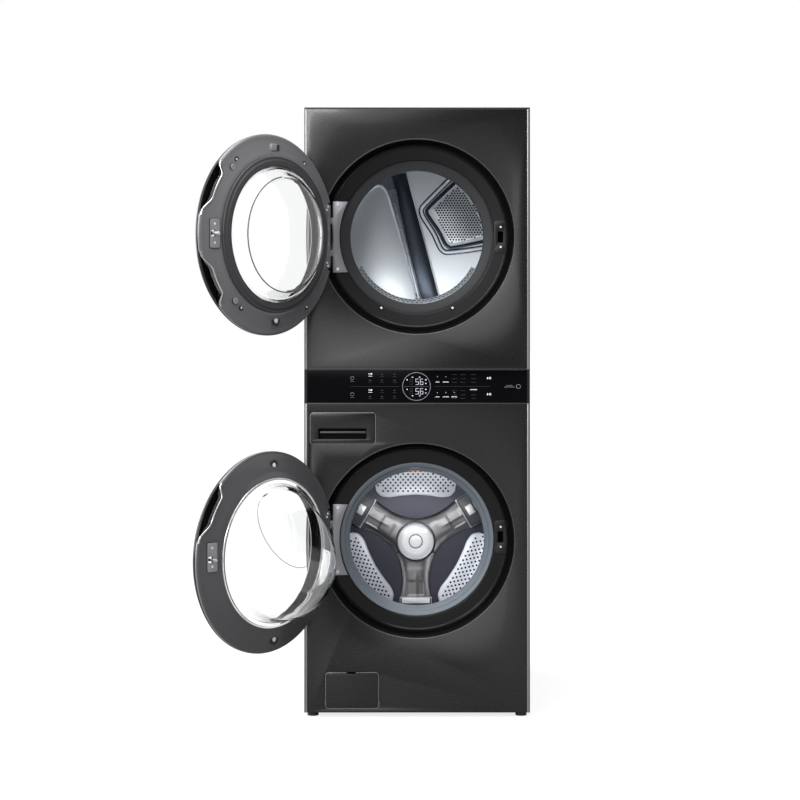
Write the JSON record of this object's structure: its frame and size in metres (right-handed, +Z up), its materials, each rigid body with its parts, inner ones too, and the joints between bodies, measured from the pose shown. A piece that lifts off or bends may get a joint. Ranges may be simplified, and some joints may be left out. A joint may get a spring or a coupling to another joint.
{
  "type": "washer dryer stack",
  "caption": "Tall one-piece laundry tower: front-loading washer below, tumble dryer above, control panel between, both round doors standing open.",
  "frame": {"origin": "centre of the cabinet's footprint on the floor", "axes": "+Z up, -Y out of the front, +X to the right as seen from the front"},
  "size_m": [0.9963, 1.2694, 1.89],
  "materials": {
    "black_steel": "satin dark painted steel sheet",
    "side_paint": "satin graphite paint",
    "zinc_sheet": "galvanised sheet",
    "console_black": "gloss black",
    "console_glass": "black tinted, glossy",
    "circuit_board": "matt green board",
    "recess_black": "smooth black moulding",
    "bright_steel": "bright steel",
    "dark_plastic": "matt black",
    "grey_rubber": "blue-grey rubber",
    "black_rubber": "matt rubber",
    "white_plastic": "satin off-white",
    "grey_plastic": "satin grey",
    "drum_steel": "polished stainless steel",
    "cast_metal": "cast",
    "concrete": "cast weight",
    "motor_metal": "dark lacquered core",
    "door_black": "gloss black",
    "liner_grey": "smooth mid grey",
    "clear_glass": "clear"
  },
  "bodies": {
    "cabinet": {"base_frame": "zinc_sheet", "levelling_feet": "black_rubber", "side_panels": "side_paint", "top_panel": "black_steel", "rear_panel": "zinc_sheet", "lower_front_panel": "black_steel", "upper_front_panel": "black_steel", "control_panel_housing": "console_black", "control_panel_glass": "console_glass", "display_board": "circuit_board", "middle_deck": "zinc_sheet", "door_surrounds": "recess_black", "hinge_brackets": "bright_steel", "hinge_pins": "bright_steel", "washer_door_lock": "dark_plastic", "dryer_door_catch": "dark_plastic", "panel_screws": "bright_steel", "door_gasket": "grey_rubber", "drawer_housing": "white_plastic", "water_fittings": "white_plastic", "drain_pump": "grey_plastic", "power_terminal_cover": "zinc_sheet", "suspension_springs": "bright_steel", "damper_cylinders": "grey_plastic", "dryer_front_bulkhead": "zinc_sheet", "dryer_rear_bulkhead": "drum_steel", "blower_housing": "grey_plastic", "dryer_motor": "motor_metal", "drive_belt": "black_rubber"},
    "tub": {"tub_front": "white_plastic", "tub_rear": "white_plastic", "front_counterweight": "concrete", "motor_stator": "motor_metal", "damper_rods": "grey_plastic"},
    "washer_drum": {"washer_drum_shell": "drum_steel", "drum_lifters": "grey_plastic", "drum_spider": "cast_metal", "hub_cap": "drum_steel", "motor_rotor": "bright_steel"},
    "dryer_drum": {"dryer_drum_shell": "drum_steel"},
    "dryer_motor_shaft": {"motor_pulley": "bright_steel", "blower_wheel": "dark_plastic"},
    "lint_screen": {"lint_filter": "grey_plastic"},
    "dryer_door": {"dryer_door_frame": "door_black", "dryer_door_liner": "liner_grey", "dryer_door_glass": "clear_glass", "dryer_door_window": "clear_glass", "dryer_door_seal": "black_rubber", "dryer_door_hinge": "bright_steel", "dryer_door_strike": "bright_steel"},
    "washer_door": {"washer_door_frame": "door_black", "washer_door_liner": "liner_grey", "washer_door_glass": "clear_glass", "washer_door_bowl": "clear_glass", "washer_door_hinge": "bright_steel"},
    "latch_hook": {"washer_door_hook": "bright_steel"},
    "drawer": {"drawer_front": "black_steel", "drawer_tray": "white_plastic"},
    "pump_flap": {"pump_cover": "black_steel"},
    "pump_screen": {"pump_filter": "grey_plastic"}
  },
  "joints": [
    {"name": "dryer_door_hinge_turn", "type": "hinge", "parent": "cabinet", "child": "dryer_door", "pos_m": [-0.28, -0.395, 1.489], "axis": [0, 0, 1], "range_deg": [0, 128]},
    {"name": "washer_door_hinge_turn", "type": "hinge", "parent": "cabinet", "child": "washer_door", "pos_m": [-0.28, -0.395, 0.546], "axis": [0, 0, 1], "range_deg": [0, 129]},
    {"name": "latch_hook_tilt", "type": "hinge", "parent": "washer_door", "child": "latch_hook", "pos_m": [-0.6091, -0.82206, 0.554], "axis": [0, 0, 1], "range_deg": [-3, 3], "stiffness_Nm_per_rad": 0.5},
    {"name": "drawer_slide", "type": "slide", "parent": "cabinet", "child": "drawer", "axis": [0, -1, 0], "range_m": [0, 0.22]},
    {"name": "pump_flap_turn", "type": "hinge", "parent": "cabinet", "child": "pump_flap", "pos_m": [-0.2015, -0.3848, 0.0275], "axis": [1, 0, 0], "range_deg": [0, 95]},
    {"name": "pump_screen_turn", "type": "hinge", "parent": "cabinet", "child": "pump_screen", "pos_m": [-0.2, -0.35, 0.084], "axis": [0, 1, 0], "range_deg": [0, 120]},
    {"name": "tub_bounce", "type": "slide", "parent": "cabinet", "child": "tub", "axis": [0, 0, 1], "range_m": [-0.01, 0.01], "stiffness_N_per_m": 30000, "springref_m": 0.0147, "deforming": ["suspension_springs", "door_gasket"]},
    {"name": "washer_drum_spin", "type": "hinge", "parent": "tub", "child": "washer_drum", "pos_m": [0, -0.285, 0.546], "axis": [0, 0.9848, -0.1736], "continuous": true},
    {"name": "dryer_drum_spin", "type": "hinge", "parent": "cabinet", "child": "dryer_drum", "pos_m": [0, -0.3, 1.489], "axis": [0, 1, 0], "continuous": true},
    {"name": "dryer_motor_spin", "type": "hinge", "parent": "cabinet", "child": "dryer_motor_shaft", "pos_m": [0.2, -0.2, 1.166], "axis": [0, 1, 0], "continuous": true},
    {"name": "lint_screen_slide", "type": "slide", "parent": "cabinet", "child": "lint_screen", "axis": [0, 0, -1], "range_m": [-0.18, 0]}
  ],
  "couplings": [
    {"joint": "dryer_motor_spin", "follows": "dryer_drum_spin", "ratio": 18.59}
  ]
}
